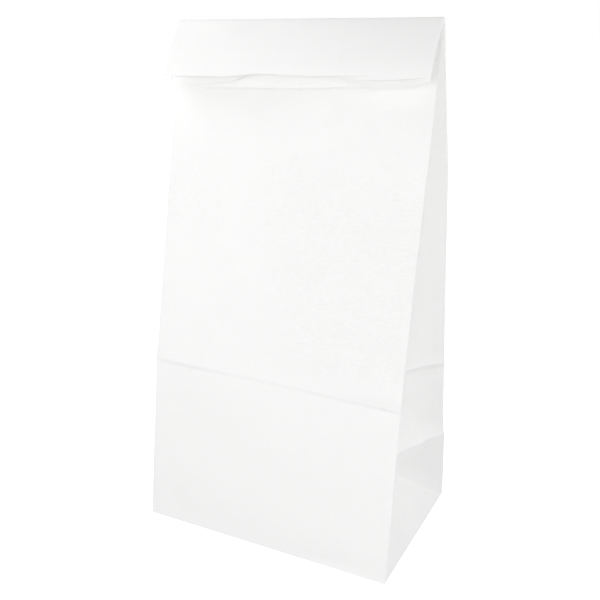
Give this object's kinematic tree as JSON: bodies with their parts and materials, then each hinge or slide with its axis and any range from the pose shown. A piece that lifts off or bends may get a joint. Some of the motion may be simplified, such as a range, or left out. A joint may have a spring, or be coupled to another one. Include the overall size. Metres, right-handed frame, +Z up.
{
  "type": "paper grocery bag",
  "caption": "Plain white paper grocery bag with a flat square bottom and pleated side gussets, standing shut with its top folded over once to the front.",
  "frame": {"origin": "centre of the base, on the surface that the bag stands on", "axes": "+Z up, +Y towards the back panel, so that the folded top faces -Y, and +X to the right as seen from the front"},
  "size_m": [0.16, 0.106, 0.3],
  "materials": {
    "white_paper": "bleached kraft paper, matte, uncoated, finely crinkled along its folds"
  },
  "bodies": {
    "root": {"bag": "white_paper"}
  },
  "joints": []
}
